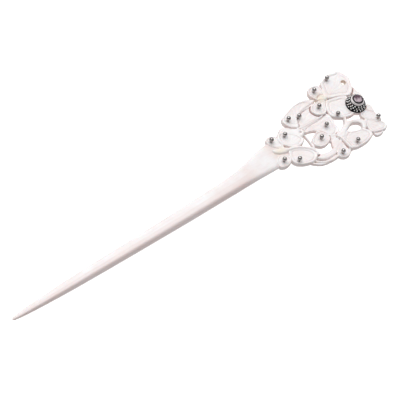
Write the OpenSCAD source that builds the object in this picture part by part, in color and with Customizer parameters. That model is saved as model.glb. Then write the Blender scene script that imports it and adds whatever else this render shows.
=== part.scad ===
// Decorative hair pin. A long bone stick ends in a flat, pierced head of four
// butterflies, a flower and curling vines, cut from the same piece of bone. Fifteen
// silver ball-headed pegs stand on the wings, and a granulated silver setting holds a
// round faceted stone. It lies on its back: X runs from the tip to the head, Y runs
// across the head, Z points out of the carved face, and z = 0 is the flat back.

/* [Pin] */
// Overall length, tip to head
pin_l = 181; // [160:1:200]

/* [Carving] */
// Depth of the line cut inside each wing
line_depth = 0.2; // [0.1:0.05:0.4]
// Size of the loop that the line makes, as a share of the wing
line_loop = 0.74; // [0.6:0.02:0.8]
// Diameter of the hole through the top wing
hole_d = 2.2; // [1.6:0.1:2.4]

/* [Ball pegs] */
// Diameter of a silver ball
ball_d = 1.9; // [1.5:0.1:2.1]
// Height of the ball's centre above the wing
ball_up = 1.4; // [1.4:0.1:2.2]
// Diameter of the neck under the ball
neck_d = 1; // [1:0.1:1.4]
// Diameter of the peg in the bone
peg_d = 0.8; // [0.6:0.1:0.8]
// Depth of a peg's bore
bore_depth = 1.3; // [1:0.1:1.6]

/* [Setting] */
// Distance from the pin's head end to the setting's middle
set_back = 7; // [6:0.1:8]
// Position of the setting across the pin
set_y = 3.3; // [2.5:0.1:4]
// Diameter of the setting's foot
foot_d = 7.2; // [7:0.1:7.6]
// Diameter of one silver granule
grain_d = 0.8; // [0.6:0.02:0.8]
// Distance between neighbouring granules in a row
grain_pitch = 1.25; // [0.9:0.05:1.4]
// Outer diameter of the bezel
bezel_d = 5.8; // [5.6:0.1:6]
// Diameter of the stone
stone_d = 4.8; // [4.4:0.1:5]

/* [Hidden] */
fit = 0.05;                 // glue gap round a peg
mid_y = 3.45;               // half-way between the head's two edges
axis_z = 2.2;               // height of the stick's middle over most of its length
drawn_l = 181;              // pin length at which the tables below are drawn
head_x = 134;               // where the stick has run out under the head
set_x = drawn_l - set_back;
post_d = 1.2;
boss_z = 2.3;               // bone surface under the setting
cone_h = 2.5;               // height of the setting's cone
cone_top_d = 4.9;
rim_h = 0.2;                // flat rim round the cone's foot, under the granules
rim_r = foot_d / 2 + 0.8;
grain_rows = 3;
row_step = (cone_h - rim_h) / grain_rows;

// Stations along the stick: [x, middle y, width, middle z, thickness].
stick = [
    [0, 0, 0.9, 2.2, 0.9], [1, 0, 1.4, 2.2, 1.3], [4, 0, 2.1, 2.2, 1.9],
    [8, 0, 2.7, 2.2, 2.4], [15, 0, 3.4, 2.2, 2.9], [25, 0, 4.2, 2.2, 3.5],
    [40, 0, 4.8, 2.2, 3.9], [60, 0, 5.4, 2.2, 4.2], [80, 0.1, 6.1, 2.2, 4.4],
    [98, 0.4, 6.8, 2.2, 4.4], [107, 0.6, 7.3, 2.1, 4.2], [114, 1.3, 8.6, 1.75, 3.5],
    [121, 2.2, 11, 1.4, 2.8], [127, 2.8, 13.2, 1.1, 2.2], [134, 2.8, 13.6, 1, 2]
];

// Wings, each the smooth closed line through its points: [top z, points].
wings = [
    // butterfly at the head's top
    [2.4, [[160, 17.5], [162, 20], [165, 20], [167, 18.5], [166.5, 15.5], [165.5, 13],
        [162.5, 12.8], [160.5, 15]]],
    [2.5, [[167, 17], [168.2, 19.4], [171, 20.4], [174.5, 21.2], [176.8, 20.6],
        [179, 20.4], [180.4, 17.5], [181, 15], [179.5, 12], [178.5, 10], [175, 8], [170.5, 10],
        [165.5, 12], [166, 15]]],
    [2.6, [[160, 13], [157.5, 12.8], [155.7, 11.5], [155.2, 9.8], [156.5, 7.5],
        [159.5, 6.5], [161.5, 7.5], [162.5, 9.5], [164, 11.5], [162.5, 12.5]]],
    [2.3, [[164.5, 11.5], [162.5, 9.5], [161.3, 7], [161, 4.8], [162.5, 2.6], [165, 1],
        [168, 0], [171, 0.2], [174, 1.5], [175, 4.5], [173, 9], [169, 10.5]]],
    // butterfly at the head's upper left
    [2.4, [[160.5, 13.8], [158, 16.2], [155, 17], [152, 17], [149, 16.5], [146.5, 15.7],
        [144.5, 15.2], [142.5, 14.5], [141.5, 12.5], [142, 10.5], [143.5, 8.5],
        [146, 7.5], [149, 11.5], [155.5, 13.1]]],
    [2.1, [[160, 13.2], [155.5, 13.4], [150, 13], [146, 11], [144.5, 8], [145.2, 6.6],
        [148, 6.2], [153, 6.2], [158.5, 6.2], [160, 8.5], [161.5, 11]]],
    [1.9, [[145.3, 6.2], [150, 6.8], [155, 6.8], [160, 7], [161.2, 4], [160.5, 1],
        [160.4, -0.8], [160, -2.4], [157.6, -4], [155, -3.3], [152.5, -0.6], [151, 2],
        [148.5, 3.3], [146.5, 3.8]]],
    [2.2, [[151, 2], [148.5, 1.2], [146.8, 0.2], [145.8, -1.2], [145.8, -3],
        [146.8, -4.4], [148.5, -5.2], [150.5, -5.2], [152.8, -4.4], [154, -3],
        [153.8, -1], [152.5, 1]]],
    // butterfly next to the stick
    [2.45, [[130.3, 10.2], [129.3, 8.8], [129.3, 7.2], [130, 5.8], [131.3, 4.4],
        [133.9, 2.6], [134.6, 5], [134.5, 7.5], [134.4, 9.4], [132.3, 10.5]]],
    [2.65, [[135.8, 9.6], [134.3, 7.8], [133.9, 5.6], [134.8, 3.4], [136.8, 1.4],
        [140, 0.2], [142.2, 0.5], [143.8, 1.8], [143.4, 3.4], [142.5, 5.2],
        [139.7, 7.8], [137.3, 9.4]]],
    [2.55, [[128.6, 1], [127, -0.4], [126.4, -2.2], [126.8, -3.8], [128.6, -4.5],
        [131, -4.3], [132.7, -3.3], [133.2, -1.8], [132.7, -0.2], [130.6, 1.2]]],
    [2.35, [[135, 1.2], [138.3, 0], [141, -1.7], [143, -3.8], [143.8, -6],
        [143.3, -7.4], [141, -8.5], [139, -8.5], [136.4, -7.8], [134, -6.4],
        [132.7, -4.8], [132.7, -2.8], [133.4, -0.6]]],
    // butterfly at the lower right
    [2.35, [[157.8, -6.4], [161.5, -4.6], [163.3, -5.6], [165.5, -6.5], [168.5, -7.2],
        [170.2, -9], [170.6, -10.5], [170.2, -11.8], [168.5, -12.6], [165.5, -13.3],
        [162, -13.4], [159.5, -13], [158, -12], [157.6, -9]]],
    [2.15, [[157.2, -6.4], [157.6, -9], [157.6, -11.5], [156.6, -13.2], [154.8, -14.2],
        [153, -14.2], [151.5, -13.5], [150.8, -12.2], [151.2, -10.5], [152.8, -9],
        [154.5, -8]]],
    // flower at the end
    [2.25, [[173, -0.8], [175.5, -0.4], [177, -2.2], [178.7, -4.3], [179, -6.5],
        [178.5, -8.3], [176.5, -8.2], [175, -6.8], [173.5, -5.2], [172.3, -4],
        [172, -2.4]]],
    [2.05, [[172.6, -4], [174.3, -5], [176, -7], [177.2, -8.2], [178.8, -9.2],
        [178.8, -11.4], [177, -12.6], [174.5, -12.2], [172.3, -11.6], [170.6, -10.4],
        [170.6, -8], [171.4, -5.6]]]
];

// Bodies, leaves and vines, drawn in the same way without a cut line.
trims = [
    [2.85, [[160.8, 13.6], [163, 15], [165, 14.8], [166, 12.5], [164.5, 11.2],
        [162.3, 12]]],
    [1.8, [[177, 11.8], [179.5, 11.2], [180, 8.5], [180.5, 6], [179, 3.5], [176, 4],
        [174.5, 8]]],
    [2.7, [[137.8, 10.8], [139.8, 11], [142.3, 8.9], [145, 6.9], [146.6, 4.9],
        [145, 3.2], [143.3, 3], [141.5, 5.2], [139, 7.3], [136.8, 9.2]]],
    [1.75, [[145.2, 4.2], [146, 4.2], [146, 0.5], [145.6, -3.2], [144.6, -3.6],
        [145, 0.5]]],
    [1.7, [[152.5, 0.5], [156, -3], [157.4, -4.6], [155.5, -5.6], [152.5, -4.8],
        [151.5, -2.5]]],
    [2.5, [[156.6, -3.6], [159.5, -3], [161.5, -2], [163.3, -1.3], [165, 0.8],
        [166.2, 0.6], [165.6, -1], [168.5, -1.7], [170.8, -2.9], [172, -5],
        [171, -7.2], [169.3, -8.2], [168.4, -7], [169.3, -5.6], [168.6, -4.3],
        [166.5, -3.2], [164.5, -3.6], [161.5, -5], [158.5, -6.8]]],
    [1.95, [[154, -4.2], [156.4, -4.4], [157.2, -6.5], [155, -8], [152.5, -9.2],
        [151.6, -8], [152.2, -6]]],
    [2.75, [[156.6, -4.4], [157.8, -5.6], [158.3, -9], [158.2, -12.4], [157.6, -12.6],
        [157, -11], [157.1, -8]]],
    [2.05, [[152.4, -7.8], [149, -7.8], [146, -7], [143.2, -5.8], [142.4, -7.8],
        [144, -9.8], [146.5, -10.8], [149.5, -10.9], [152.4, -10]]],
    [1.85, [[142, -6.6], [142, -8.6], [143.8, -10], [146.5, -10.8], [150.8, -10.8],
        [151.5, -12], [148.5, -12.4], [145.5, -12], [142.7, -10.7], [140.8, -8.6]]],
    [1.5, [[139.4, -7.8], [141, -9.2], [143, -10.6], [145.4, -11.5], [145.6, -12.2],
        [142.3, -11.4], [140, -9.8], [138.4, -8]]],
    [2.75, [[134.8, 2.1], [139, 0.8], [142, -1.2], [144.3, -3.3], [144.9, -5.7],
        [144.3, -7.2], [143.2, -7.2], [143.5, -5.3], [142, -3.1], [139.8, -1.2],
        [137, 0.2], [134.3, 0.9]]],
    [2.9, [[128.8, 4.8], [131.3, 4.2], [134.4, 3], [135.8, 1.4], [133.6, 0.4],
        [130.4, 1.3], [128.5, 3]]],
    [1.8, [[175.5, 1], [179, 1.3], [180, -0.3], [179.6, -2.6], [178.5, -4.6],
        [176, -3.8], [175, -1]]],
    [1.6, [[171.5, -10.4], [173, -11.2], [175.8, -11.8], [175, -13.2], [172.6, -13.5],
        [171.2, -12.6]]]
];

// Pegs: [x, y, bone surface z].
pegs = [
    [171.5, 19.3, 2.5], [162.8, 17.5, 2.4], [159.1, 10.3, 2.6], [148.8, 11.1, 2.1],
    [144, 12.3, 2.4], [163.5, 3.3, 2.3], [156.1, 2, 1.9], [177.5, -6.7, 2.25],
    [150, -1.7, 2.2], [137.4, 7.1, 2.65], [131.1, 8.1, 2.45], [129.5, -1.9, 2.55],
    [135.1, -4.9, 2.35], [161.9, -10.9, 2.35], [153, -11.7, 2.15]
];

// One point of the smooth line between b and c, a and d being their neighbours.
function along(a, b, c, d, t) =
    0.5 * (2 * b + (c - a) * t + (2 * a - 5 * b + 4 * c - d) * t * t
        + (3 * b - a - 3 * c + d) * t * t * t);

// Smooth closed line through the points, with n steps between neighbours.
function smooth(p, n = 3) = let (m = len(p)) [
    for (i = [0:m - 1], k = [0:n - 1])
        along(p[(i + m - 1) % m], p[i], p[(i + 1) % m], p[(i + 2) % m], k / n)
];

function mean(p, i = 0) = i == len(p) - 1 ? p[i] / len(p) : p[i] / len(p) + mean(p, i + 1);

// The line drawn smaller about its middle.
function shrunk(p, k) = let (c = mean(p)) [for (q = p) c + (q - c) * k];

// Half-size across a corner of the stick, which makes its section an octagon.
function corner(s) = 0.41 * (s[2] + s[4]) / sqrt(2);

// Moves the pin so that the origin is below the middle of its bounding box.
module placed() translate([-pin_l / 2, -mid_y, 0]) children();

// The head keeps its size and goes out with the pin's end.
module in_head() translate([pin_l - drawn_l, 0, 0]) children();

// Only the stick is stretched to make the pin longer.
function stick_x(s) = s[0] * (head_x + pin_l - drawn_l) / head_x;

// Long prism whose outline runs along the stick between low and high, turned about it.
module slab(low, high, turn) {
    n = len(stick) - 1;
    translate([0, 0, axis_z]) rotate([turn, 0, 0]) translate([0, 0, -20])
        linear_extrude(40) polygon(concat(
            [for (i = [0:n]) [stick_x(stick[i]), low[i]]],
            [for (i = [n:-1:0]) [stick_x(stick[i]), high[i]]]));
}

module stick_shape() intersection() {
    slab([for (s = stick) s[1] - s[2] / 2], [for (s = stick) s[1] + s[2] / 2], 0);
    slab([for (s = stick) s[3] - axis_z - s[4] / 2],
        [for (s = stick) s[3] - axis_z + s[4] / 2], 90);
    for_corner(1);
    for_corner(-1);
}

module for_corner(side) {
    mid = [for (s = stick) (s[1] + side * (s[3] - axis_z)) / sqrt(2)];
    slab([for (i = [0:len(stick) - 1]) mid[i] - corner(stick[i])],
        [for (i = [0:len(stick) - 1]) mid[i] + corner(stick[i])], side * 45);
}

module wing(top, points) difference() {
    linear_extrude(top) polygon(smooth(points));
    translate([0, 0, top - line_depth]) linear_extrude(1) difference() {
        polygon(smooth(shrunk(points, line_loop)));
        polygon(smooth(shrunk(points, line_loop - 0.08)));
    }
}

module bone_body() color("ivory") placed() difference() {
    union() {
        stick_shape();
        in_head() {
            for (w = wings) wing(w[0], w[1]);
            for (t = trims) linear_extrude(t[0]) polygon(smooth(t[1]));
            translate([set_x, set_y, 0]) cylinder(h = boss_z, r = rim_r);
        }
    }
    in_head() {
        for (p = pegs) translate([p[0], p[1], p[2] - bore_depth])
            cylinder(h = 4, d = peg_d + 2 * fit);
        translate([set_x, set_y, boss_z - bore_depth]) cylinder(h = 4, d = post_d + 2 * fit);
        // hole through the top wing
        translate([177, 14.4, -1]) cylinder(h = 5, d = hole_d);
        // dimple of the eye at the stem's end
        translate([144.6, 5, 2.5]) cylinder(h = 2, d = 1);
    }
}

module ball_peg(i) color("silver") placed() in_head() {
    p = pegs[i];
    translate([p[0], p[1], p[2]]) {
        translate([0, 0, ball_up]) sphere(d = ball_d);
        translate([0, 0, 0.02]) cylinder(h = ball_up - 0.4, d = neck_d);
        translate([0, 0, 0.1 - bore_depth]) cylinder(h = bore_depth + 0.3, d = peg_d);
    }
}

module at_setting() placed() in_head()
    translate([set_x, set_y, boss_z + 0.02]) children();

// Radius of the domed cone's skin at a height above the foot.
function cone_r(z) = foot_d / 2 + (cone_top_d - foot_d) / 2 * pow(z / cone_h, 1.5);

// How fast that radius shrinks there.
function cone_lean(z) = (foot_d - cone_top_d) / 2 * 1.5 / cone_h * sqrt(z / cone_h);

// Radius of the ring of granules that touch the skin at that height.
function ring_r(z) = cone_r(z) + (grain_d / 2 + 0.02) * sqrt(1 + pow(cone_lean(z), 2));

module setting_post() color("silver") at_setting()
    translate([0, 0, 0.1 - bore_depth]) cylinder(h = bore_depth + 0.3, d = post_d);

// Hollow domed cone on a flat rim, open in the middle for the stone's point.
module setting_cone() color("dimgray") at_setting() rotate_extrude() polygon(concat(
    [[rim_r, 0], [rim_r, rim_h - 0.05], [rim_r - 0.05, rim_h]],
    [for (k = [0:6]) let (z = rim_h + (cone_h - rim_h) * k / 6) [cone_r(z), z]],
    [[1.6, cone_h], [1.6, cone_h - 0.4], [cone_r(cone_h) - 0.6, cone_h - 0.4],
        [foot_d / 2 - 0.7, 0.4], [0.65, 0.4], [0.65, 0]]));

module grain_row(i) color("silver") at_setting() {
    z = rim_h + (i + 0.5) * row_step;
    count = floor(2 * PI * ring_r(z) / grain_pitch);
    for (k = [0:count - 1]) rotate([0, 0, 360 * (k + (i % 2) / 2) / count])
        translate([ring_r(z), 0, z + 0.02]) sphere(d = grain_d);
}

module bezel() color("silver") at_setting() translate([0, 0, cone_h + 0.02]) rotate_extrude()
    polygon([
        [stone_d / 2 - 0.7, 0], [bezel_d / 2 - 0.15, 0], [bezel_d / 2, 0.15],
        [bezel_d / 2, 0.3], [stone_d / 2 + 0.18, 0.8], [stone_d / 2 - 0.03, 0.96],
        [stone_d / 2 + 0.03, 0.84], [stone_d / 2 + 0.03, 0.63], [stone_d / 2 - 0.7, 0.15]
    ]);

// Faceted stone: table, crown, girdle and pavilion.
module stone() color("mediumpurple") at_setting() translate([0, 0, cone_h + 0.7]) hull() {
    translate([0, 0, 0.88]) cylinder(h = 0.02, d = stone_d * 0.54, $fn = 8);
    rotate([0, 0, 22.5]) translate([0, 0, 0.52]) cylinder(h = 0.02, d = stone_d * 0.84, $fn = 8);
    cylinder(h = 0.12, d = stone_d, $fn = 16);
    rotate([0, 0, 22.5]) translate([0, 0, -0.8]) cylinder(h = 0.02, d = stone_d * 0.5, $fn = 8);
    translate([0, 0, -1.5]) cylinder(h = 0.02, d = 0.2, $fn = 8);
}

$fn = 48;

bone_body();
ball_peg(0);  // ball_peg_01
ball_peg(1);  // ball_peg_02
ball_peg(2);  // ball_peg_03
ball_peg(3);  // ball_peg_04
ball_peg(4);  // ball_peg_05
ball_peg(5);  // ball_peg_06
ball_peg(6);  // ball_peg_07
ball_peg(7);  // ball_peg_08
ball_peg(8);  // ball_peg_09
ball_peg(9);  // ball_peg_10
ball_peg(10);  // ball_peg_11
ball_peg(11);  // ball_peg_12
ball_peg(12);  // ball_peg_13
ball_peg(13);  // ball_peg_14
ball_peg(14);  // ball_peg_15
setting_post();
setting_cone();
grain_row(0);  // grain_row_1
grain_row(1);  // grain_row_2
grain_row(2);  // grain_row_3
bezel();
stone();
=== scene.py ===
import math

import bmesh
import bpy
import numpy as np
from mathutils import Matrix, Vector


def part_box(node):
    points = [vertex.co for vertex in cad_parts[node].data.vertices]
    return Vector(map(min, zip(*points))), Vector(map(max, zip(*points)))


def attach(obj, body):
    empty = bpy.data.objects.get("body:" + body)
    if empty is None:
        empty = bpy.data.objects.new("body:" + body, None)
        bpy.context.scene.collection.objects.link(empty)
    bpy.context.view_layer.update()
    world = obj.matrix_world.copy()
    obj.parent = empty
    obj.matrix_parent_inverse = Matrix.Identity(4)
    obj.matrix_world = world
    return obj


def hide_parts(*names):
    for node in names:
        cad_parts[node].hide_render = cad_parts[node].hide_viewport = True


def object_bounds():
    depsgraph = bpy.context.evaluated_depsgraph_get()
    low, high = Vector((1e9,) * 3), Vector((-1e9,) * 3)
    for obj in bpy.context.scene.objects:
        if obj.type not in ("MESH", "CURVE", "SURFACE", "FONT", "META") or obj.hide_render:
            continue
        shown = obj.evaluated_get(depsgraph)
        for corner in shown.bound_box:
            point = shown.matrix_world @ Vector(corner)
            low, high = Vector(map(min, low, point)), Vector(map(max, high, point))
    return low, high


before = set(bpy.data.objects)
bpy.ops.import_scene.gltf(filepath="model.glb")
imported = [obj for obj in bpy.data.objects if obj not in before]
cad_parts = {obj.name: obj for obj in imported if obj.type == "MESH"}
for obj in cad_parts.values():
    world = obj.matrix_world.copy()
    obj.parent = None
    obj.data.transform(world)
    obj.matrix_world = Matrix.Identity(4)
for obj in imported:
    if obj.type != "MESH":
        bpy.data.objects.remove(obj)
cadLow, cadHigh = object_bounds()
mm = 0.001
# the tables below count mm from the pin's tip (x), the stick's own line (y) and the flat back (z)
tipX = cadLow[0]
lineY = (cadLow[1] + cadHigh[1]) / 2 - 3.45 * mm
backZ = cadLow[2]


def inFrame(x, y, z):
    return Vector((tipX + x * mm, lineY + y * mm, backZ + z * mm))


def hexColour(text):  # sRGB hex to the linear colour Blender works in
    parts = [int(text[i:i + 2], 16) / 255 for i in (1, 3, 5)]
    return [p / 12.92 if p <= 0.04045 else ((p + 0.055) / 1.055) ** 2.4 for p in parts] + [1]


def addNode(tree, kind, settings=None, links=None):
    node = tree.nodes.new(kind)
    for key, value in (settings or {}).items():
        if key == "stops":
            points = node.color_ramp.elements
            while len(points) < len(value):
                points.new(0.5)
            for point, (place, shade) in zip(points, value):
                point.position = place
                point.color = hexColour(shade) if isinstance(shade, str) else (shade, shade, shade, 1)
        elif isinstance(key, int) or key in node.inputs:
            node.inputs[key].default_value = value
        else:
            setattr(node, key, value)
    for key, socket in (links or {}).items():
        tree.links.new(socket, node.inputs[key])
    return node


def newMaterial(name):
    material = bpy.data.materials.new(name)
    material.use_nodes = True
    material.node_tree.nodes.clear()
    return material, material.node_tree


def finishMaterial(tree, shader):
    addNode(tree, "ShaderNodeOutputMaterial", links={"Surface": shader.outputs[0]})


boneLook = {
    # the pinkish-brown and pinkish-grey colours are painted shade, the honey colour is a real tone that also
    # paints shade in the hole, the brown darkens each peg's foot
    "light": "#faf8f9", "warm": "#f6edec", "pore": "#dccac4", "crease": "#b8958f", "stain": "#94706a",
    "honey": "#f3e7cf", "blush": "#dcc2bc",
    "grainWidth": 0.3, "grainLength": 9.0,      # mm
    "poreWidth": 0.14, "poreLength": 1.6,       # mm
    "cloud": 7.0,                               # mm
    "roughness": 0.3,
}


def polishedBone():
    # cow bone, cut and polished by hand: cream-white, silky, with fine lengthwise grain and
    # tiny open pores; pinkish painted shade in the cuts and steps, on the stick's lower side, the head's
    # walls and the hole's wall, and a darker tint round each peg's foot
    look = boneLook
    material, tree = newMaterial("boneCarvedPolished")
    place = addNode(tree, "ShaderNodeTexCoord").outputs["Object"]
    grainMap = addNode(tree, "ShaderNodeMapping", {"Scale": (
        1000 / look["grainLength"], 1000 / look["grainWidth"], 1000 / look["grainWidth"])}, {"Vector": place})
    grain = addNode(tree, "ShaderNodeTexNoise", {"Scale": 1, "Detail": 3, "Roughness": 0.6},
                    {"Vector": grainMap.outputs[0]})
    poreMap = addNode(tree, "ShaderNodeMapping", {"Scale": (
        1000 / look["poreLength"], 1000 / look["poreWidth"], 1000 / look["poreWidth"])}, {"Vector": place})
    pores = addNode(tree, "ShaderNodeTexNoise", {"Scale": 1, "Detail": 1, "Roughness": 0.5},
                    {"Vector": poreMap.outputs[0]})
    cloud = addNode(tree, "ShaderNodeTexNoise", {"Scale": 1000 / look["cloud"], "Detail": 2},
                    {"Vector": place})
    tone = addNode(tree, "ShaderNodeValToRGB", {"stops": [(0.35, look["light"]), (0.7, look["warm"])]},
                   {"Fac": cloud.outputs["Fac"]})
    streak = addNode(tree, "ShaderNodeValToRGB", {"stops": [(0.45, 0), (0.75, 0.3)]},
                     {"Fac": grain.outputs["Fac"]})
    base = addNode(tree, "ShaderNodeMix", {"data_type": "RGBA", 7: hexColour(look["pore"])},
                   {0: streak.outputs[0], 6: tone.outputs[0]})
    dots = addNode(tree, "ShaderNodeValToRGB", {"stops": [(0.68, 0), (0.78, 0.5)]},
                   {"Fac": pores.outputs["Fac"]})
    base = addNode(tree, "ShaderNodeMix", {"data_type": "RGBA", 7: hexColour(look["pore"])},
                   {0: dots.outputs[0], 6: base.outputs[2]})
    # these tints paint shade in the cuts and steps, on the stick's lower side, the head's walls and the hole,
    # plus real honey patches and a darker tint round each peg's foot
    for name in ("honey", "blush", "crease", "stain"):  # the tints that tint() writes on the mesh
        amount = addNode(tree, "ShaderNodeAttribute", {"attribute_name": name})
        base = addNode(tree, "ShaderNodeMix", {"data_type": "RGBA", 7: hexColour(look[name])},
                       {0: amount.outputs["Fac"], 6: base.outputs[2]})
    gloss = addNode(tree, "ShaderNodeValToRGB", {"stops": [
        (0.3, look["roughness"] - 0.05), (0.8, look["roughness"] + 0.12)]}, {"Fac": grain.outputs["Fac"]})
    relief = addNode(tree, "ShaderNodeBump", {"Strength": 0.25, "Distance": 0.00003},
                     {"Height": pores.outputs["Fac"]})
    shader = addNode(tree, "ShaderNodeBsdfPrincipled", {
        "IOR": 1.54, "Subsurface Weight": 0.12, "Subsurface Radius": (1.0, 0.6, 0.45),
        "Subsurface Scale": 0.0006}, {
        "Base Color": base.outputs[2], "Roughness": gloss.outputs[0], "Normal": relief.outputs[0]})
    finishMaterial(tree, shader)
    return material


silverLook = {"bright": "#b4b0af", "dull": "#867f7e", "smudge": 1.2, "scratch": 0.08, "roughness": 0.1}


def polishedSilver():
    # sterling silver, cast and tumbled bright: mirror-like, with faint smudges and hair scratches
    look = silverLook
    material, tree = newMaterial("silverTumbled")
    place = addNode(tree, "ShaderNodeTexCoord").outputs["Object"]
    smudge = addNode(tree, "ShaderNodeTexNoise", {"Scale": 1000 / look["smudge"], "Detail": 3},
                     {"Vector": place})
    scratch = addNode(tree, "ShaderNodeTexNoise", {"Scale": 1000 / look["scratch"], "Detail": 2},
                      {"Vector": place})
    tone = addNode(tree, "ShaderNodeValToRGB", {"stops": [(0.4, look["bright"]), (0.75, look["dull"])]},
                   {"Fac": smudge.outputs["Fac"]})
    gloss = addNode(tree, "ShaderNodeValToRGB", {"stops": [
        (0.3, look["roughness"]), (0.8, look["roughness"] + 0.12)]}, {"Fac": smudge.outputs["Fac"]})
    relief = addNode(tree, "ShaderNodeBump", {"Strength": 0.15, "Distance": 0.00001},
                     {"Height": scratch.outputs["Fac"]})
    shader = addNode(tree, "ShaderNodeBsdfPrincipled", {"Metallic": 1.0}, {
        "Base Color": tone.outputs[0], "Roughness": gloss.outputs[0], "Normal": relief.outputs[0]})
    finishMaterial(tree, shader)
    return material


neckLook = {"brown": "#a8968f", "grey": "#cdc2be", "band": 0.5, "roughness": 0.4}


def darkenedNeck():
    # the peg's neck, where glue and polish have dried: silver gone brownish and half dull
    look = neckLook
    material, tree = newMaterial("silverNeckTarnished")
    place = addNode(tree, "ShaderNodeTexCoord").outputs["Object"]
    band = addNode(tree, "ShaderNodeTexNoise", {"Scale": 1000 / look["band"], "Detail": 2}, {"Vector": place})
    tone = addNode(tree, "ShaderNodeValToRGB", {"stops": [(0.4, look["brown"]), (0.8, look["grey"])]},
                   {"Fac": band.outputs["Fac"]})
    shader = addNode(tree, "ShaderNodeBsdfPrincipled", {"Metallic": 0.15, "Roughness": look["roughness"]}, {
        "Base Color": tone.outputs[0]})
    finishMaterial(tree, shader)
    return material


darkLook = {"black": "#0b090a", "grey": "#241f20", "grit": 0.35, "roughness": 0.55}


def oxidisedSilver():
    # silver blackened with liver of sulphur and left dull: near black, uneven, a little rough
    look = darkLook
    material, tree = newMaterial("silverOxidised")
    place = addNode(tree, "ShaderNodeTexCoord").outputs["Object"]
    grit = addNode(tree, "ShaderNodeTexNoise", {"Scale": 1000 / look["grit"], "Detail": 4}, {"Vector": place})
    tone = addNode(tree, "ShaderNodeValToRGB", {"stops": [(0.4, look["black"]), (0.75, look["grey"])]},
                   {"Fac": grit.outputs["Fac"]})
    relief = addNode(tree, "ShaderNodeBump", {"Strength": 0.4, "Distance": 0.00005},
                     {"Height": grit.outputs["Fac"]})
    shader = addNode(tree, "ShaderNodeBsdfPrincipled", {"Metallic": 0.7, "Roughness": look["roughness"]}, {
        "Base Color": tone.outputs[0], "Normal": relief.outputs[0]})
    finishMaterial(tree, shader)
    return material


grainLook = {"bright": "#ffffff", "dark": "#c9c4c2", "ground": "#0b090a", "patch": 0.9, "roughness": 0.36}


def granuleSilver():
    # tiny silver balls, blackened with the ground and then rubbed bright on their tops
    look = grainLook
    material, tree = newMaterial("silverGranulesRubbed")
    place = addNode(tree, "ShaderNodeTexCoord").outputs["Object"]
    patch = addNode(tree, "ShaderNodeTexNoise", {"Scale": 1000 / look["patch"], "Detail": 2},
                    {"Vector": place})
    tone = addNode(tree, "ShaderNodeValToRGB", {"stops": [(0.45, look["bright"]), (0.72, look["dark"])]},
                   {"Fac": patch.outputs["Fac"]})
    rub = addNode(tree, "ShaderNodeAttribute", {"attribute_name": "rub"})   # 1 on a ball's outermost point
    rubbed = addNode(tree, "ShaderNodeValToRGB", {"stops": [(0.28, 0), (0.62, 1)]},
                     {"Fac": rub.outputs["Fac"]})
    base = addNode(tree, "ShaderNodeMix", {"data_type": "RGBA", 6: hexColour(look["ground"])},
                   {0: rubbed.outputs[0], 7: tone.outputs[0]})
    shader = addNode(tree, "ShaderNodeBsdfPrincipled", {"Metallic": 0.7, "Roughness": look["roughness"]}, {
        "Base Color": base.outputs[2]})
    finishMaterial(tree, shader)
    return material


collarLook = {"bright": "#f8f3f4", "dull": "#ddd4d7", "brushing": 0.25, "roughness": 0.38}


def satinSilver():
    # the collar round the stone: fine silver strip, rubbed down by hand to a pale satin
    look = collarLook
    material, tree = newMaterial("silverSatin")
    place = addNode(tree, "ShaderNodeTexCoord").outputs["Object"]
    brushing = addNode(tree, "ShaderNodeTexNoise", {"Scale": 1000 / look["brushing"], "Detail": 3},
                       {"Vector": place})
    tone = addNode(tree, "ShaderNodeValToRGB", {"stops": [(0.4, look["bright"]), (0.8, look["dull"])]},
                   {"Fac": brushing.outputs["Fac"]})
    relief = addNode(tree, "ShaderNodeBump", {"Strength": 0.2, "Distance": 0.00002},
                     {"Height": brushing.outputs["Fac"]})
    shader = addNode(tree, "ShaderNodeBsdfPrincipled", {"Metallic": 0.55, "Roughness": look["roughness"]}, {
        "Base Color": tone.outputs[0], "Normal": relief.outputs[0]})
    finishMaterial(tree, shader)
    return material


stoneLook = {
    "pale": "#d9c6d0", "mauve": "#5f4354", "deep": "#14080f",
    "zone": 1.3,                # mm, size of one colour zone
    "toDark": (112, 175, 0),    # per metre: the way the colour deepens across the stone
    "clear": 1.6, "dark": 1.9,     # mm from the middle: where the painted dark rim starts and where it is full
    "roughness": 0.04,
}


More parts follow.
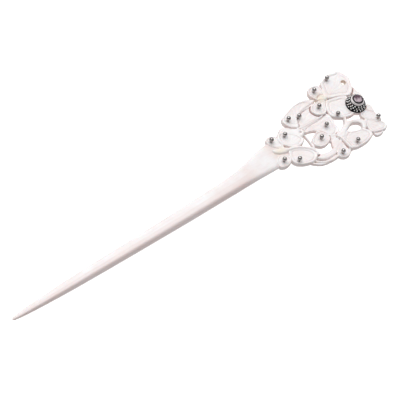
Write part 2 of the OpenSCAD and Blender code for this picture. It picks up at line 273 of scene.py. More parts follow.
def cutAmethyst():
    # pale amethyst, facet-cut and polished, closed behind by its setting: mauve-grey with soft
    # colour zones, and a painted dark rim that stands in for the steep facets reflecting the metal
    look = stoneLook
    material, tree = newMaterial("amethystFaceted")
    low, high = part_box("stone")
    middle = (low + high) / 2
    place = addNode(tree, "ShaderNodeTexCoord").outputs["Object"]
    fromMiddle = addNode(tree, "ShaderNodeMapping", {
        "Location": (-middle.x, -middle.y, 0), "Scale": (1, 1, 0)}, {"Vector": place})
    away = addNode(tree, "ShaderNodeVectorMath", {"operation": "LENGTH"}, {0: fromMiddle.outputs[0]})
    zone = addNode(tree, "ShaderNodeTexNoise", {"Scale": 1000 / look["zone"], "Detail": 3},
                   {"Vector": place})
    along = addNode(tree, "ShaderNodeVectorMath", {"operation": "DOT_PRODUCT", 1: look["toDark"]},
                    {0: fromMiddle.outputs[0]})
    depth = addNode(tree, "ShaderNodeMath", {"operation": "ADD"},
                    {0: zone.outputs["Fac"], 1: along.outputs["Value"]})
    tone = addNode(tree, "ShaderNodeValToRGB", {"stops": [(0.3, look["pale"]), (0.6, look["mauve"])]},
                   {"Fac": depth.outputs[0]})
    # painted reflection: the rim is darkened in the colour
    rim = addNode(tree, "ShaderNodeMapRange", {
        "From Min": look["clear"] * mm, "From Max": look["dark"] * mm, "interpolation_type": "SMOOTHSTEP"},
        {"Value": away.outputs["Value"]})
    base = addNode(tree, "ShaderNodeMix", {"data_type": "RGBA", 7: hexColour(look["deep"])},
                   {0: rim.outputs[0], 6: tone.outputs[0]})
    shader = addNode(tree, "ShaderNodeBsdfPrincipled", {
        "IOR": 1.55, "Transmission Weight": 0.12, "Roughness": look["roughness"]}, {
        "Base Color": base.outputs[2]})
    finishMaterial(tree, shader)
    return material


bone = polishedBone()
silver = polishedSilver()
oxidised = oxidisedSilver()
granules = granuleSilver()
neckSilver = darkenedNeck()
collarSilver = satinSilver()
amethyst = cutAmethyst()
print("materials made")

# wings: top height, slopes along x and y, root of the veins, number of veins, outline
wings = [
    # butterfly at the head's top
    [2.4, (0.0, 0.0), (166, 13), 9, [[160, 17.5], [162, 20], [165, 20], [167, 18.5], [166.5, 15.5],
        [165.5, 13], [162.5, 12.8], [160.5, 15]]],
    [2.5, (0.0, 0.0), (165, 12), 11, [[167, 17], [168.2, 19.4], [171, 20.4], [174.5, 21.2],
        [176.8, 20.6], [179, 20.4], [180.4, 17.5], [181, 15], [179.5, 12], [178.5, 10], [175, 8],
        [170.5, 10], [165.5, 12], [166, 15]]],
    [2.6, (0.0, 0.0), (163, 12), 7, [[160, 13], [157.5, 12.8], [155.7, 11.5], [155.2, 9.8],
        [156.5, 7.5], [159.5, 6.5], [161.5, 7.5], [162.5, 9.5], [164, 11.5], [162.5, 12.5]]],
    [2.3, (0.0, 0.0), (164, 11), 9, [[164.5, 11.5], [162.5, 9.5], [161.3, 7], [161, 4.8],
        [162.5, 2.6], [165, 1], [168, 0], [171, 0.2], [174, 1.5], [175, 4.5], [173, 9],
        [169, 10.5]]],
    # butterfly at the head's upper left
    [2.4, (0.0, 0.0), (144, 8), 11, [[160.5, 13.8], [158, 16.2], [155, 17], [152, 17],
        [149, 16.5], [146.5, 15.7], [144.5, 15.2], [142.5, 14.5], [141.5, 12.5], [142, 10.5],
        [143.5, 8.5], [146, 7.5], [149, 11.5], [155.5, 13.1]]],
    [2.1, (0.0, 0.0), (144, 7), 9, [[160, 13.2], [155.5, 13.4], [150, 13], [146, 11], [144.5, 8],
        [145.2, 6.6], [148, 6.2], [153, 6.2], [158.5, 6.2], [160, 8.5], [161.5, 11]]],
    [1.9, (0.0, 0.0), (146, 5), 9, [[145.3, 6.2], [150, 6.8], [155, 6.8], [160, 7], [161.2, 4],
        [160.5, 1], [160.4, -0.8], [160, -2.4], [157.6, -4], [155, -3.3], [152.5, -0.6], [151, 2],
        [148.5, 3.3], [146.5, 3.8]]],
    [2.2, (0.0, 0.0), (153, 1), 7, [[151, 2], [148.5, 1.2], [146.8, 0.2], [145.8, -1.2],
        [145.8, -3], [146.8, -4.4], [148.5, -5.2], [150.5, -5.2], [152.8, -4.4], [154, -3],
        [153.8, -1], [152.5, 1]]],
    # butterfly next to the stick
    [2.45, (0.0, 0.0), (134, 3), 7, [[130.3, 10.2], [129.3, 8.8], [129.3, 7.2], [130, 5.8],
        [131.3, 4.4], [133.9, 2.6], [134.6, 5], [134.5, 7.5], [134.4, 9.4], [132.3, 10.5]]],
    [2.65, (0.0, 0.0), (135, 2.5), 9, [[135.8, 9.6], [134.3, 7.8], [133.9, 5.6], [134.8, 3.4],
        [136.8, 1.4], [140, 0.2], [142.2, 0.5], [143.8, 1.8], [143.4, 3.4], [142.5, 5.2],
        [139.7, 7.8], [137.3, 9.4]]],
    [2.55, (0.0, 0.0), (132.5, 1), 7, [[128.6, 1], [127, -0.4], [126.4, -2.2], [126.8, -3.8],
        [128.6, -4.5], [131, -4.3], [132.7, -3.3], [133.2, -1.8], [132.7, -0.2], [130.6, 1.2]]],
    [2.35, (0.0, 0.0), (133.5, 0.5), 9, [[135, 1.2], [138.3, 0], [141, -1.7], [143, -3.8],
        [143.8, -6], [143.3, -7.4], [141, -8.5], [139, -8.5], [136.4, -7.8], [134, -6.4],
        [132.7, -4.8], [132.7, -2.8], [133.4, -0.6]]],
    # butterfly at the lower right
    [2.35, (0.0, 0.0), (157.5, -6), 11, [[157.8, -6.4], [161.5, -4.6], [163.3, -5.6],
        [165.5, -6.5], [168.5, -7.2], [170.2, -9], [170.6, -10.5], [170.2, -11.8], [168.5, -12.6],
        [165.5, -13.3], [162, -13.4], [159.5, -13], [158, -12], [157.6, -9]]],
    [2.15, (0.0, 0.0), (157.4, -7), 13, [[157.2, -6.4], [157.6, -9], [157.6, -11.5],
        [156.6, -13.2], [154.8, -14.2], [153, -14.2], [151.5, -13.5], [150.8, -12.2],
        [151.2, -10.5], [152.8, -9], [154.5, -8]]],
    # flower at the end
    [2.25, (0.0, 0.0), (173, -2), 5, [[173, -0.8], [175.5, -0.4], [177, -2.2], [178.7, -4.3],
        [179, -6.5], [178.5, -8.3], [176.5, -8.2], [175, -6.8], [173.5, -5.2], [172.3, -4],
        [172, -2.4]]],
    [2.05, (0.0, 0.0), (172, -6), 5, [[172.6, -4], [174.3, -5], [176, -7], [177.2, -8.2],
        [178.8, -9.2], [178.8, -11.4], [177, -12.6], [174.5, -12.2], [172.3, -11.6],
        [170.6, -10.4], [170.6, -8], [171.4, -5.6]]],
]
# bodies, leaves and vines: top height, roundness of the back, outline
trims = [
    [2.85, 1.2, [[160.8, 13.6], [163, 15], [165, 14.8], [166, 12.5], [164.5, 11.2], [162.3, 12]]],
    [1.8, 0.8, [[177, 11.8], [179.5, 11.2], [180, 8.5], [180.5, 6], [179, 3.5], [176, 4],
        [174.5, 8]]],
    [2.7, 1.0, [[137.8, 10.8], [139.8, 11], [142.3, 8.9], [145, 6.9], [146.6, 4.9], [145, 3.2],
        [143.3, 3], [141.5, 5.2], [139, 7.3], [136.8, 9.2]]],
    [1.75, 0.5, [[145.2, 4.2], [146, 4.2], [146, 0.5], [145.6, -3.2], [144.6, -3.6], [145, 0.5]]],
    [1.7, 0.8, [[152.5, 0.5], [156, -3], [157.4, -4.6], [155.5, -5.6], [152.5, -4.8],
        [151.5, -2.5]]],
    [2.5, 0.9, [[156.6, -3.6], [159.5, -3], [161.5, -2], [163.3, -1.3], [165, 0.8], [166.2, 0.6],
        [165.6, -1], [168.5, -1.7], [170.8, -2.9], [172, -5], [171, -7.2], [169.3, -8.2],
        [168.4, -7], [169.3, -5.6], [168.6, -4.3], [166.5, -3.2], [164.5, -3.6], [161.5, -5],
        [158.5, -6.8]]],
    [1.95, 0.8, [[154, -4.2], [156.4, -4.4], [157.2, -6.5], [155, -8], [152.5, -9.2], [151.6, -8],
        [152.2, -6]]],
    [2.75, 0.6, [[156.6, -4.4], [157.8, -5.6], [158.3, -9], [158.2, -12.4], [157.6, -12.6],
        [157, -11], [157.1, -8]]],
    [2.05, 1.0, [[152.4, -7.8], [149, -7.8], [146, -7], [143.2, -5.8], [142.4, -7.8],
        [144, -9.8], [146.5, -10.8], [149.5, -10.9], [152.4, -10]]],
    [1.85, 0.7, [[142, -6.6], [142, -8.6], [143.8, -10], [146.5, -10.8], [150.8, -10.8],
        [151.5, -12], [148.5, -12.4], [145.5, -12], [142.7, -10.7], [140.8, -8.6]]],
    [1.5, 0.5, [[139.4, -7.8], [141, -9.2], [143, -10.6], [145.4, -11.5], [145.6, -12.2],
        [142.3, -11.4], [140, -9.8], [138.4, -8]]],
    [2.75, 0.7, [[134.8, 2.1], [139, 0.8], [142, -1.2], [144.3, -3.3], [144.9, -5.7],
        [144.3, -7.2], [143.2, -7.2], [143.5, -5.3], [142, -3.1], [139.8, -1.2], [137, 0.2],
        [134.3, 0.9]]],
    [2.9, 1.2, [[128.8, 4.8], [131.3, 4.2], [134.4, 3], [135.8, 1.4], [133.6, 0.4], [130.4, 1.3],
        [128.5, 3]]],
    [1.8, 0.8, [[175.5, 1], [179, 1.3], [180, -0.3], [179.6, -2.6], [178.5, -4.6], [176, -3.8],
        [175, -1]]],
    [1.6, 0.6, [[171.5, -10.4], [173, -11.2], [175.8, -11.8], [175, -13.2], [172.6, -13.5],
        [171.2, -12.6]]],
]
headLook = {
    "cell": 0.2,            # size of one mesh cell
    "edge": 0.55,           # rounding of a wing's edge
    "wall": 3.0,            # steepness of the step below an edge
    "dish": 0.14,           # how far a wing is hollowed inside its rim
    "rim": (0.5, 1.6),      # where the hollow starts and where it is full
    "lineLoop": 0.74, "lineDepth": 0.13, "lineWidth": 0.2,
    "veinDepth": 0.05, "veinWidth": 0.2, "veinDrift": 0.18,
    "veinSpread": 1.6, "veinBend": 0.9,     # veins over half a turn, how quickly they wander
    "undercut": (0.5, 0.55, 0.35),  # reach, share and greatest depth of the cut along an overlapping edge
    "undercutFrom": 0.1,    # steps lower than this get no undercut
    "crease": (0.14, 3, 0.95),      # lowest step that shows as painted crease shade, gain and greatest strength
    "lowest": 0.6,          # top of what no layer covers
    "backEdge": 0.45,       # rounding of the back's edge
    "boss": (174, 3.3, 4.4, 2.3),   # round seat of the setting: x, y, radius, height
    "bossEdge": 0.5,
    "hole": (177, 14.4, 1.1),       # x, y, radius
    "eye": (144.6, 5.0, 0.5), "eyeDepth": 0.45,
    "pegHollow": (0.9, 0.08),       # reach and depth of the dimple round a peg
    "rimPull": 0.15,        # farthest a rim point is moved at a time
}
pegs = [  # x, y
    (171.5, 19.3), (162.8, 17.5), (159.1, 10.3), (148.8, 11.1), (144, 12.3), (163.5, 3.3), (156.1, 2),
    (177.5, -6.7), (150, -1.7), (137.4, 7.1), (131.1, 8.1), (129.5, -1.9), (135.1, -4.9), (161.9, -10.9),
    (153, -11.7),
]


def smoothLine(points, steps=5):  # closed line that runs smoothly through the points
    p = np.array(points, float)
    before, after, beyond = np.roll(p, 1, 0), np.roll(p, -1, 0), np.roll(p, -2, 0)
    rows = []
    for k in range(steps):
        t = k / steps
        rows.append(0.5 * (2 * p + (after - before) * t + (2 * before - 5 * p + 4 * after - beyond) * t * t
                           + (3 * p - before - 3 * after + beyond) * t ** 3))
    return np.stack(rows, 1).reshape(-1, 2)


def depthInside(at, line):  # distance to the line, positive inside it
    nearest = np.full(len(at), 1e9)
    inside = np.zeros(len(at), bool)
    for a, b in zip(line, np.roll(line, -1, 0)):
        run = b - a
        t = np.clip(((at - a) @ run) / (run @ run), 0, 1)
        gap = at - a - t[:, None] * run
        nearest = np.minimum(nearest, (gap * gap).sum(1))
        if a[1] != b[1]:
            crosses = (a[1] > at[:, 1]) != (b[1] > at[:, 1])
            inside ^= crosses & (at[:, 0] < (b[0] - a[0]) * (at[:, 1] - a[1]) / (b[1] - a[1]) + a[0])
    return np.where(inside, 1, -1) * np.sqrt(nearest)


def ease(value, start, end):
    t = np.clip((value - start) / (end - start), 0, 1)
    return t * t * (3 - 2 * t)


def edgeDrop(depth, radius, wall):  # quarter-round edge, then a steep wall
    t = 1 - np.clip(depth / radius, 0, 1)
    return radius * (1 - np.sqrt(1 - t * t)) + wall * np.clip(-depth, 0, None)


def nearBy(at, line, margin=1.0):
    low, high = line.min(0) - margin, line.max(0) + margin
    return np.flatnonzero(((at > low) & (at < high)).all(1))


wingLines = [smoothLine(w[4]) for w in wings]
trimLines = [smoothLine(t[2]) for t in trims]


def carvedDepth(at):  # distance inside the head's outline, negative outside and in the openings
    depth = np.full(len(at), -9.0)
    for line in wingLines + trimLines:
        near = nearBy(at, line)
        depth[near] = np.maximum(depth[near], depthInside(at[near], line))
    x, y, radius = headLook["boss"][:3]
    depth = np.maximum(depth, radius - np.hypot(at[:, 0] - x, at[:, 1] - y))
    x, y, radius = headLook["hole"]
    return np.minimum(depth, np.hypot(at[:, 0] - x, at[:, 1] - y) - radius)


def carvedTop(at):
    look = headLook
    top = np.full(len(at), look["lowest"])
    marks = np.zeros(len(at))   # where the cut line and the veins run
    for (level, slope, root, veins, points), line in zip(wings, wingLines):
        near = nearBy(at, line)
        here = at[near]
        depth = depthInside(here, line)
        middle = line.mean(0)
        skin = level + (here - middle) @ np.array(slope) - edgeDrop(depth, look["edge"], look["wall"])
        skin -= look["dish"] * ease(depth, *look["rim"])
        inner = depthInside(here, middle + (line - middle) * look["lineLoop"])
        cut = np.exp(-(inner / look["lineWidth"]) ** 2)
        ray = here - np.array(root)
        reach = np.hypot(*ray.T)
        veinStep = math.pi / (veins * look["veinSpread"])
        turn = np.arctan2(ray[:, 1], ray[:, 0]) * veins * look["veinSpread"] / math.pi
        turn += look["veinDrift"] * np.sin(reach * look["veinBend"] + level * 40)
        strength = 0.25 + 0.75 * np.abs(np.sin(np.floor(turn) * 2.4 + level * 70))  # no two veins alike
        across = np.abs((turn % 1) - 0.5) * reach * veinStep
        vein = np.exp(-(across / look["veinWidth"]) ** 2) * ease(inner, 0.1, 0.6) * ease(reach, 1.0, 2.5)
        vein *= strength
        skin -= look["lineDepth"] * cut + look["veinDepth"] * vein
        marks[near] = np.where(skin > top[near], cut * 0.5 + vein * 0.2, marks[near])
        top[near] = np.maximum(top[near], skin)
    for (level, roundness, points), line in zip(trims, trimLines):
        near = nearBy(at, line)
        skin = level - edgeDrop(depthInside(at[near], line), roundness, look["wall"])
        marks[near] = np.where(skin > top[near], 0, marks[near])
        top[near] = np.maximum(top[near], skin)
    x, y, radius, level = look["boss"]
    top = np.maximum(top, level - edgeDrop(radius - np.hypot(at[:, 0] - x, at[:, 1] - y), look["bossEdge"],
                                           look["wall"]))
    radius, deep = look["pegHollow"]
    for x, y in pegs:
        top -= deep * np.exp(-((at[:, 0] - x) ** 2 + (at[:, 1] - y) ** 2) / (radius * 0.6) ** 2)
    x, y, radius = look["eye"]
    return top - look["eyeDepth"] * np.exp(-((at[:, 0] - x) ** 2 + (at[:, 1] - y) ** 2) / radius ** 2), marks


def makeFields():  # the relief as rasters, read between their points further down
    lines = np.concatenate(wingLines + trimLines)
    low, high = lines.min(0) - 1.5, lines.max(0) + 1.5
    xs, ys = (np.arange(low[k], high[k], rasterStep) for k in (0, 1))
    at = np.stack(np.meshgrid(xs, ys, indexing="ij"), -1).reshape(-1, 2)
    depth = carvedDepth(at).reshape(len(xs), len(ys))
    top, marks = (values.reshape(depth.shape) for values in carvedTop(at))
    reach, share, deepest = headLook["undercut"]
    creaseFrom, gain, strongest = headLook["crease"]
    highest = top.copy()
    steps = int(round(reach / rasterStep))
    for i in range(-steps, steps + 1):
        for j in range(-steps, steps + 1):
            if i * i + j * j <= steps * steps:
                highest = np.maximum(highest, np.roll(top, (i, j), (0, 1)))
    step = (highest - top) * ease(depth, 0.35, 0.9)     # how far the surface lies below its surroundings
    # the crease field is painted shade: it darkens where a surface lies below its surroundings
    return {"low": low, "depth": depth,
            "top": top - np.clip(share * (step - headLook["undercutFrom"]), 0, deepest),
            "crease": np.clip((step - creaseFrom) * gain, 0, strongest),
            "marks": marks * ease(depth, 0.2, 0.5)}


def readField(field, at):
    place = (at - fields["low"]) / rasterStep
    i, j = (np.clip(place[:, k].astype(int), 0, field.shape[k] - 2) for k in (0, 1))
    u, v = np.clip(place[:, 0] - i, 0, 1), np.clip(place[:, 1] - j, 0, 1)
    return (field[i, j] * (1 - u) * (1 - v) + field[i + 1, j] * u * (1 - v)
            + field[i, j + 1] * (1 - u) * v + field[i + 1, j + 1] * u * v)


def blurred(field, width):  # width in mm
    reach = int(3 * width / rasterStep)
    weights = np.exp(-(np.arange(-reach, reach + 1) * rasterStep / width) ** 2)
    weights /= weights.sum()
    for axis in (0, 1):
        field = np.apply_along_axis(np.convolve, axis, field, weights, mode="same")
    return field


rasterStep = 0.1  # mm
fields = makeFields()
print("relief drawn")


def carvedHead():
    look = headLook
    lines = np.concatenate(wingLines + trimLines)
    low, high = lines.min(0) - 0.5, lines.max(0) + 0.5
    cells = np.ceil((high - low) / look["cell"]).astype(int)
    bm = bmesh.new()
    bmesh.ops.create_grid(bm, x_segments=int(cells[0]), y_segments=int(cells[1]), size=0.5)
    bmesh.ops.scale(bm, vec=(*(high - low), 1), verts=bm.verts)
    bmesh.ops.translate(bm, vec=(*(low + high) / 2, 0), verts=bm.verts)
    centres = np.array([f.calc_center_median()[:2] for f in bm.faces])
    inside = readField(fields["depth"], centres) > 0.02
    bmesh.ops.delete(bm, geom=[f for f, kept in zip(bm.faces, inside) if not kept], context="FACES")
    while True:  # no two parts may meet in a single corner
        pinched = [v for v in bm.verts if sum(e.is_boundary for e in v.link_edges) > 2]
        if not pinched:
            break
        bmesh.ops.delete(bm, geom=list({v.link_faces[0] for v in pinched}), context="FACES")
    rim = [v for v in bm.verts if v.is_boundary]
    at = np.array([v.co[:2] for v in rim])
    uphillX, uphillY = np.gradient(fields["depth"])
    for _ in range(3):  # the stepped rim is drawn onto the outline
        depth = readField(fields["depth"], at)
        uphill = np.stack([readField(uphillX, at), readField(uphillY, at)], 1)
        length = np.hypot(*uphill.T).clip(1e-6)
        at -= uphill / length[:, None] * np.clip(depth, -look["rimPull"], look["rimPull"])[:, None]
    hair = 0.0001       # mm, so that rounding can't carry the rim past the CAD box
    at = np.clip(at, *((np.array(corner[:2]) - np.array(inFrame(0, 0, 0))[:2]) / mm + grow
                       for corner, grow in ((cadLow, hair), (cadHigh, -hair))))
    for v, (x, y) in zip(rim, at):
        v.co.x, v.co.y = x, y
    bmesh.ops.smooth_vert(bm, verts=[v for v in bm.verts if not v.is_boundary
                                     and any(e.other_vert(v).is_boundary for e in v.link_edges)],
                          factor=0.5, use_axis_x=True, use_axis_y=True)
    grown = bmesh.ops.extrude_face_region(bm, geom=list(bm.faces), use_keep_orig=True)["geom"]
    front = [g for g in grown if isinstance(g, bmesh.types.BMVert)]
    kept = set(front)
    back = [v for v in bm.verts if v not in kept]
    for v, z in zip(front, readField(fields["top"], np.array([v.co[:2] for v in front]))):
        v.co.z = z
    depth = readField(fields["depth"], np.array([v.co[:2] for v in back]))
    for v, z in zip(back, edgeDrop(depth.clip(0), look["backEdge"], 0)):
        v.co.z = z
    bmesh.ops.recalc_face_normals(bm, faces=bm.faces)
    return bm


# stations along the stick: x, middle y, width, middle z, thickness
stations = [
    [0, 0, 0.24, 2.2, 0.24], [0.12, 0, 0.6, 2.2, 0.58], [0.35, 0, 0.95, 2.2, 0.92],
    [1, 0, 1.4, 2.2, 1.3], [4, 0, 2.1, 2.2, 1.9],
    [8, 0, 2.7, 2.2, 2.4], [15, 0, 3.4, 2.2, 2.9], [25, 0, 4.2, 2.2, 3.5], [40, 0, 4.8, 2.2, 3.9],
    [60, 0, 5.4, 2.2, 4.2], [80, 0.1, 6.1, 2.2, 4.4], [98, 0.4, 6.8, 2.2, 4.4], [107, 0.6, 7.3, 2.1, 4.2],
    [114, 1.3, 8.6, 1.75, 3.5], [121, 2.2, 11, 1.42, 2.75], [127, 2.8, 13.2, 1.12, 2.15],
    [134, 2.8, 13.4, 1.02, 1.9],
]
stickLook = {"around": 72, "step": 1.5, "headStep": 0.4, "chamfer": 0.29, "softness": 16}


def stickSection(x):
    table = np.array(stations)
    return [np.interp(x, table[:, 0], table[:, k]) for k in range(1, 5)]


def smoothSection(x):  # the stations, with their corners taken out
    near = [stickSection(x + d) for d in (-4, -2, 0, 2, 4)] if x > 6 else [stickSection(x)]
    return np.mean(near, 0)


def sectionPoint(turn, width, thickness):  # an eight-sided section with well rounded corners
    cos, sin = math.cos(turn), math.sin(turn)
    corner = stickLook["chamfer"] * (width + thickness)
    pulls = (abs(cos) / (width / 2), abs(sin) / (thickness / 2),
             abs(cos + sin) / math.sqrt(2) / corner, abs(cos - sin) / math.sqrt(2) / corner)
    power = stickLook["softness"]
    reach = sum(pull ** power for pull in pulls) ** (-1 / power)
    return reach * cos, reach * sin


def stick():
    look = stickLook
    places = [0.02, 0.12, 0.3, 0.6, 1, 1.8] + list(np.arange(3, 122, look["step"])) \
        + list(np.arange(122, 134, look["headStep"]))
    bm = bmesh.new()
    bmesh.ops.create_grid(bm, x_segments=len(places) - 1, y_segments=look["around"], size=0.5)
    sections = [smoothSection(x) for x in places]
    for v in bm.verts:  # the sheet is rolled up into the stick
        station = round((v.co.x + 0.5) * (len(places) - 1))
        y, width, z, thickness = sections[station]
        across, up = sectionPoint(v.co.y * 2 * math.pi, width, thickness)
        v.co = (places[station], y + across, z + up)
    bmesh.ops.remove_doubles(bm, verts=bm.verts, dist=0.001)
    bmesh.ops.holes_fill(bm, edges=[e for e in bm.edges if e.is_boundary])
    bmesh.ops.recalc_face_normals(bm, faces=bm.faces)
    return bm


def asPiece(bm, name, place):
    bmesh.ops.scale(bm, vec=(mm, mm, mm), verts=bm.verts)
    bmesh.ops.translate(bm, vec=place, verts=bm.verts)
    mesh = bpy.data.meshes.new(name)
    bm.to_mesh(mesh)
    bm.free()
    piece = bpy.data.objects.new(name, mesh)
    bpy.context.scene.collection.objects.link(piece)
    return piece


carving = asPiece(carvedHead(), "carvedBone", inFrame(0, 0, 0))
print("head carved:", len(carving.data.polygons), "faces")
shaft = asPiece(stick(), "stickBlank", inFrame(0, 0, 0))
print("stick shaped:", len(shaft.data.polygons), "faces")

join = carving.modifiers.new("join", "BOOLEAN")
join.operation, join.solver, join.object = "UNION", "MANIFOLD", shaft
bpy.context.view_layer.update()
joined = bpy.data.meshes.new_from_object(carving.evaluated_get(bpy.context.evaluated_depsgraph_get()))
carving.modifiers.clear()
carving.data = joined
bpy.data.objects.remove(shaft)
print("bone in one piece:", len(joined.polygons), "faces")


tintLook = {
    "headStart": 126,                           # x where the carved head begins
    "creaseSoft": 0.08, "marks": 0.5,           # blur of the painted crease shade, and share of the cut lines and veins in it
    "creaseRise": (0.5, 1.0),                   # heights between which the creases come in
    "stain": 0.26, "stainReach": 0.75,          # darker tint round each peg's foot
    # the hole's wall gets painted tan shade: share of honey, share of pinkish shade, and how far it fades
    # beyond the hole
    "holeShadeHoney": 0.8, "holeShade": 0.3, "holeFade": 0.3,
    # soft patches: share, x, y, half length, half width
    "honey": [(0.7, 162.8, 13.2, 2.6, 2.0), (0.6, 131.5, 2.6, 3.2, 1.6)],
    # a patch of painted shade on the stick's lower side near the head
    "blush": [(0.5, 107, -2.2, 10, 2.2)],
    "lowerSideShade": (0.26, 0.22), "lowerSideEnd": (108, 122),     # painted shade on the stick's lower side, and where it fades out
    "edge": 0.45, "edgeDepth": (0.05, 0.4), "edgeStart": (124, 130),   # painted shade on the head's edges and walls
}


def patches(at, rows):
    tinted = np.zeros(len(at))
    for share, x, y, length, width in rows:
        away = np.hypot((at[:, 0] - x) / length, (at[:, 1] - y) / width)
        tinted = np.maximum(tinted, share * np.exp(-away ** 2))
    return tinted


def tint(mesh):
    look = tintLook
    co = np.zeros(len(mesh.vertices) * 3)
    mesh.vertices.foreach_get("co", co)
    co = (co.reshape(-1, 3) - np.array(inFrame(0, 0, 0))) / mm
    at = co[:, :2]
    # painted shade in the steps under overlapping edges and along the cut lines and veins
    creases = blurred(fields["crease"], look["creaseSoft"])
    crease = readField(np.maximum(creases, fields["marks"] * look["marks"]), at)
    crease *= (at[:, 0] > look["headStart"]) * ease(co[:, 2], *look["creaseRise"])
    # a darker tint round each peg's foot
    stain = np.zeros(len(at))
    for x, y in pegs:
        away = np.hypot(at[:, 0] - x, at[:, 1] - y)
        stain = np.maximum(stain, look["stain"] * np.exp(-(away / look["stainReach"]) ** 4))
    # painted tan shade on the hole's wall
    x, y, radius = headLook["hole"]
    inHole = 1 - ease(np.hypot(at[:, 0] - x, at[:, 1] - y), radius, radius + look["holeFade"])
    # painted shade darkens the stick's lower side
    table = np.array(stations)
    middleY, width = (np.interp(at[:, 0], table[:, 0], table[:, k]) for k in (1, 2))
    side = (middleY - at[:, 1]) / (width / 2)       # 1 on the stick's lower edge
    least, more = look["lowerSideShade"]
    lowerSideShade = (least + more * ease(side, 0.2, 1)) * ease(side, -0.02, 0.1)
    lowerSideShade *= 1 - ease(at[:, 0], *look["lowerSideEnd"])
    # painted shade on the walls and rounded edges round the head's outline
    edge = look["edge"] * (1 - ease(readField(fields["depth"], at), *look["edgeDepth"]))
    edge *= ease(at[:, 0], *look["edgeStart"])
    # the pinkish tint is all painted shade; honey is a real yellow tone except in the hole, where it paints
    # shade
    honey = np.maximum(patches(at, look["honey"]), look["holeShadeHoney"] * inHole)
    blush = np.max([patches(at, look["blush"]), lowerSideShade, edge, look["holeShade"] * inHole], axis=0)
    for name, values in (("crease", crease), ("stain", stain), ("honey", honey), ("blush", blush)):
        layer = mesh.attributes.new(name, "FLOAT", "POINT")
        layer.data.foreach_set("value", values.astype(np.float32))


tint(joined)
joined.materials.clear()
joined.materials.append(bone)
for polygon in joined.polygons:
    polygon.use_smooth = True
joined.set_sharp_from_angle(angle=math.radians(50))
print("bone edges kept")
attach(carving, "root")
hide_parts("bone_body")
print("bone tinted")

pegLook = {
    "ball": 1.9, "up": 1.4,         # the ball's size and its middle above the wing
    "neck": 0.7, "foot": 0.84,      # neck under the ball, and its foot on the bone
    "below": 0.9,                   # how far the peg goes into the bone
    "around": 32, "arc": 14,
}


def ballPeg(name):
    look = pegLook
    low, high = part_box(name)
    middle = (low + high) / 2
    ballZ = high.z / mm - look["ball"] / 2
    wingZ = ballZ - look["up"]
    radius, neck, foot = look["ball"] / 2, look["neck"] / 2, look["foot"] / 2
    start = math.asin(neck / radius)
    profile = [(0, wingZ - look["below"]), (foot, wingZ - look["below"]), (foot, wingZ + 0.1),
               (neck + 0.02, wingZ + 0.25), (neck, ballZ - radius * math.cos(start))]
    joint = len(profile) - 1
    for k in range(1, look["arc"] + 1):
        turn = start + (math.pi - start) * k / look["arc"]
        profile.append((radius * math.sin(turn), ballZ - radius * math.cos(turn)))
    bm = bmesh.new()
    rim = [bm.verts.new((x, 0, z)) for x, z in profile]
    wire = [bm.edges.new(pair) for pair in zip(rim, rim[1:])]
    bmesh.ops.spin(bm, geom=rim + wire, cent=(0, 0, 0), axis=(0, 0, 1), angle=2 * math.pi,
                   steps=look["around"], use_merge=True)
    bmesh.ops.remove_doubles(bm, verts=bm.verts, dist=0.0005)
    bmesh.ops.recalc_face_normals(bm, faces=bm.faces)
    neckTop = profile[joint][1]
    for face in bm.faces:
        face.smooth = True
        face.material_index = int(face.calc_center_median().z < neckTop)
    piece = asPiece(bm, "silverB" + name[1:], (middle.x, middle.y, 0))
    piece.data.materials.append(silver)
    piece.data.materials.append(neckSilver)
    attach(piece, "root")
    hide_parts(name)


for name in sorted(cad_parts):
    if name.startswith("ball_peg"):
        ballPeg(name)
print("pegs turned")

rowLook = {
    "counts": (19, 18, 16), "size": 0.8, "unevenSize": 0.1, "unevenPlace": 0.14,
    "start": 3.76,                          # turn where the rows are laid half a ball apart
    "outward": (0.894, 0.447),              # away from the cone: sideways, upwards
}
chance = np.random.default_rng(7)


def granuleRow(name, index):
    look = rowLook
    low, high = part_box(name)
    middle = (low + high) / 2
    radius = (high.x - low.x) / 2 / mm - look["size"] / 2
    count = look["counts"][index]
    bm = bmesh.new()
    rub = bm.verts.layers.float.new("rub")
    for k in range(count):
        size = look["size"] / 2 * (1 - look["unevenSize"] * chance.random())
        slip = look["unevenPlace"] * chance.uniform(-1, 1, 2)
        turn = look["start"] + 2 * math.pi * (k + index % 2 / 2 + slip[0]) / count
        made = bmesh.ops.create_icosphere(bm, subdivisions=2, radius=size)["verts"]
        aside, up = look["outward"]
        for v in made:
            v[rub] = (aside * (v.co.x * math.cos(turn) + v.co.y * math.sin(turn)) + up * v.co.z) / size
        bmesh.ops.translate(bm, verts=made, vec=(
            radius * math.cos(turn), radius * math.sin(turn), middle.z / mm + slip[1] * 0.4))
    for face in bm.faces:
        face.smooth = True
    piece = asPiece(bm, "granules" + name[-2:], (middle.x, middle.y, 0))
    piece.data.materials.append(granules)
    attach(piece, "root")
    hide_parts(name)


for index, name in enumerate(sorted(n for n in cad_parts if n.startswith("grain_row"))):
    granuleRow(name, index)
print("granules set")

# setting and stone keep their shape
for name, finish in {"setting_post": silver, "setting_cone": oxidised, "bezel": collarSilver,
                     "stone": amethyst}.items():
    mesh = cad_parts[name].data
    mesh.materials.clear()
    mesh.materials.append(finish)
print("setting and stone finished")

view = {
    "target": (89.05, 2.01, 3.0), "distance": 560,
    "right": (0.764, -0.621, 0.176), "back": (-0.455, -0.325, 0.829),
    "lens": 131.3, "sensor": 36,
}


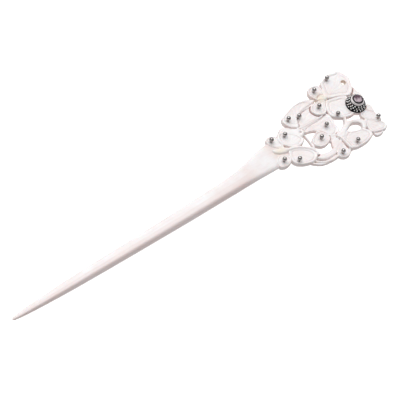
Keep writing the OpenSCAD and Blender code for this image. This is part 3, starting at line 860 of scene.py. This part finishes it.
def makeCamera():
    camera = bpy.data.cameras.new("camera")
    camera.lens, camera.sensor_width = view["lens"], view["sensor"]
    camera.clip_start, camera.clip_end = 0.01, 20
    back = Vector(view["back"]).normalized()
    right = Vector(view["right"])
    right = (right - right.dot(back) * back).normalized()
    up = back.cross(right)
    turn = Matrix((right, up, back)).transposed().to_4x4()
    holder = bpy.data.objects.new("camera", camera)
    holder.matrix_world = Matrix.Translation(inFrame(*view["target"]) + back * view["distance"] * mm) @ turn
    bpy.context.scene.collection.objects.link(holder)
    bpy.context.scene.camera = holder


floorLook = {"size": 3.0, "patch": 60, "below": 0.05, "glow": 0.8}     # metres, mm, mm, strength


def makeFloor():
    # seamless white paper on a lit table: matt, almost white, with hardly a shadow
    bm = bmesh.new()
    bmesh.ops.create_grid(bm, x_segments=1, y_segments=1, size=floorLook["size"])
    bmesh.ops.translate(bm, vec=(0, 0, cadLow[2] - floorLook["below"] * mm), verts=bm.verts)
    mesh = bpy.data.meshes.new("floor")
    bm.to_mesh(mesh)
    bm.free()
    floor = bpy.data.objects.new("floor", mesh)
    bpy.context.scene.collection.objects.link(floor)
    material, tree = newMaterial("paperMatt")
    place = addNode(tree, "ShaderNodeTexCoord").outputs["Object"]
    cloud = addNode(tree, "ShaderNodeTexNoise", {"Scale": 1000 / floorLook["patch"]}, {"Vector": place})
    tone = addNode(tree, "ShaderNodeValToRGB", {"stops": [(0, "#f8f8f8"), (1, "#fdfdfd")]},
                   {"Fac": cloud.outputs["Fac"]})
    finishMaterial(tree, addNode(tree, "ShaderNodeBsdfPrincipled", {
        "Roughness": 0.9, "Specular IOR Level": 0.1, "Emission Color": (1, 1, 1, 1),
        "Emission Strength": floorLook["glow"]},
                                 {"Base Color": tone.outputs[0]}))
    mesh.materials.append(material)
    # its glow neither lights the pin nor shows in the silver
    floor.visible_diffuse = floor.visible_glossy = False


lightLook = {
    "towards": (0.35, 0.6, 0.72),       # where the studio is brightest
    "bright": 0.6, "dim": 0.24, "from": -0.1, "to": 0.9,
    "table": 0.84,                      # what comes up from the white table
    "boxAt": (0.05, 0.40, 0.92), "boxSize": 1.2, "boxPower": 7.8,      # metres, metres, watts
}


def makeLight():
    world = bpy.data.worlds.new("studio")
    bpy.context.scene.world = world
    world.use_nodes = True
    tree = world.node_tree
    tree.nodes.clear()
    direction = addNode(tree, "ShaderNodeTexCoord").outputs["Generated"]
    facing = addNode(tree, "ShaderNodeVectorMath", {
        "operation": "DOT_PRODUCT", 1: Vector(lightLook["towards"]).normalized()}, {0: direction})
    share = addNode(tree, "ShaderNodeMapRange", {
        "From Min": lightLook["from"], "From Max": lightLook["to"], "To Min": lightLook["dim"],
        "To Max": lightLook["bright"], "interpolation_type": "SMOOTHSTEP"},
                    {"Value": facing.outputs["Value"]})
    height = addNode(tree, "ShaderNodeSeparateXYZ", links={0: direction})
    below = addNode(tree, "ShaderNodeMapRange", {"From Min": 0.1, "From Max": -0.1},
                    {"Value": height.outputs[2]})
    strength = addNode(tree, "ShaderNodeMix", {"data_type": "FLOAT", 3: lightLook["table"]},
                       {0: below.outputs[0], 2: share.outputs[0]})
    background = addNode(tree, "ShaderNodeBackground", {"Color": (1, 1, 1, 1)},
                         {"Strength": strength.outputs[0]})
    addNode(tree, "ShaderNodeOutputWorld", links={"Surface": background.outputs[0]})
    box = bpy.data.lights.new("softbox", "AREA")
    box.shape, box.size, box.energy = "DISK", lightLook["boxSize"], lightLook["boxPower"]
    holder = bpy.data.objects.new("softbox", box)
    holder.location = lightLook["boxAt"]
    aim = Vector(lightLook["boxAt"]).to_track_quat("Z", "Y")
    holder.rotation_euler = aim.to_euler()
    bpy.context.scene.collection.objects.link(holder)
    bpy.context.scene.view_settings.view_transform = "Standard"


makeCamera()
makeFloor()
makeLight()
print("camera, floor and light placed")
